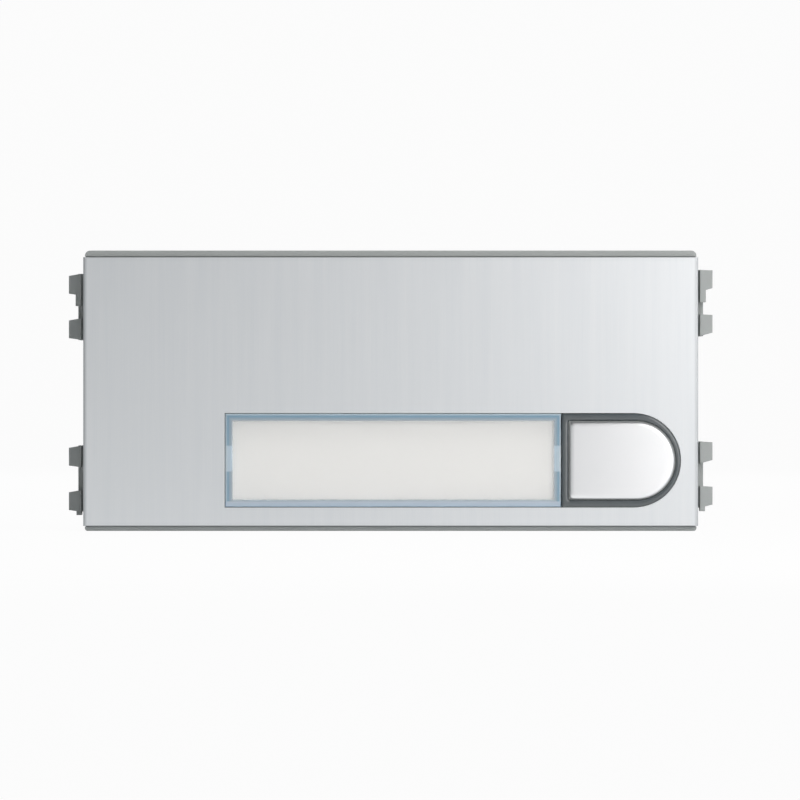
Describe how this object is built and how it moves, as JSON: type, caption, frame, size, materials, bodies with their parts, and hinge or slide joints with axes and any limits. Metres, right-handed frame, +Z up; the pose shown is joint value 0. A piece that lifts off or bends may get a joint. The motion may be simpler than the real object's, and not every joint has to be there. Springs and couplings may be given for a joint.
{
  "type": "intercom button module",
  "caption": "Clip-in intercom panel module: brushed plate with a backlit name window and a sprung call button, on a moulded carrier whose side hooks snap behind frame rails.",
  "frame": {"origin": "middle of the module, in the plane of the side hooks' bearing faces", "axes": "+X to the right as seen from the street, +Y into the wall, +Z up; the plate faces -Y"},
  "size_m": [0.1156, 0.023, 0.0502],
  "materials": {
    "anodised_aluminium": "fine vertical brushing, clear anodised",
    "grey_abs": "fine moulded texture",
    "dark_grey_abs": "fine moulded texture",
    "satin_chromed_abs": "satin chrome plating",
    "spring_steel": "drawn wire",
    "clear_polycarbonate": "clear, polished",
    "name_card_paper": "matt",
    "opal_acrylic": "milky",
    "green_laminate": "solder resist",
    "zinc_plated_steel": "bright zinc",
    "black_nylon": "moulded",
    "white_nylon": "moulded",
    "tinned_brass": "tinned",
    "clear_epoxy": "clear with phosphor",
    "resistor_ceramic": "glazed film, tinned ends",
    "diode_glass": "clear, tinned ends"
  },
  "bodies": {
    "module": {"front_plate": "anodised_aluminium", "carrier": "grey_abs", "button_bezel": "dark_grey_abs", "return_spring": "spring_steel", "label_window": "clear_polycarbonate", "name_card": "name_card_paper", "label_diffuser": "opal_acrylic", "circuit_board": "green_laminate", "board_screws": "zinc_plated_steel", "switch_base": "black_nylon", "switch_cover": "zinc_plated_steel", "switch_legs": "tinned_brass", "led_bodies": "white_nylon", "led_lenses": "clear_epoxy", "input_header_base": "black_nylon", "input_header_pins": "tinned_brass", "output_header_base": "black_nylon", "output_header_pins": "tinned_brass", "resistors": "resistor_ceramic", "diode": "diode_glass"},
    "button": {"push_button": "satin_chromed_abs"},
    "plunger": {"switch_plunger": "black_nylon"}
  },
  "joints": [
    {"name": "button_press", "type": "slide", "parent": "module", "child": "button", "axis": [0, 1, 0], "range_m": [0, 0.0012], "stiffness_N_per_m": 800, "springref_m": -0.001, "deforming": ["return_spring"]},
    {"name": "plunger_press", "type": "slide", "parent": "module", "child": "plunger", "axis": [0, 1, 0], "range_m": [0, 0.0012]}
  ],
  "couplings": [
    {"joint": "plunger_press", "follows": "button_press", "ratio": 1}
  ]
}
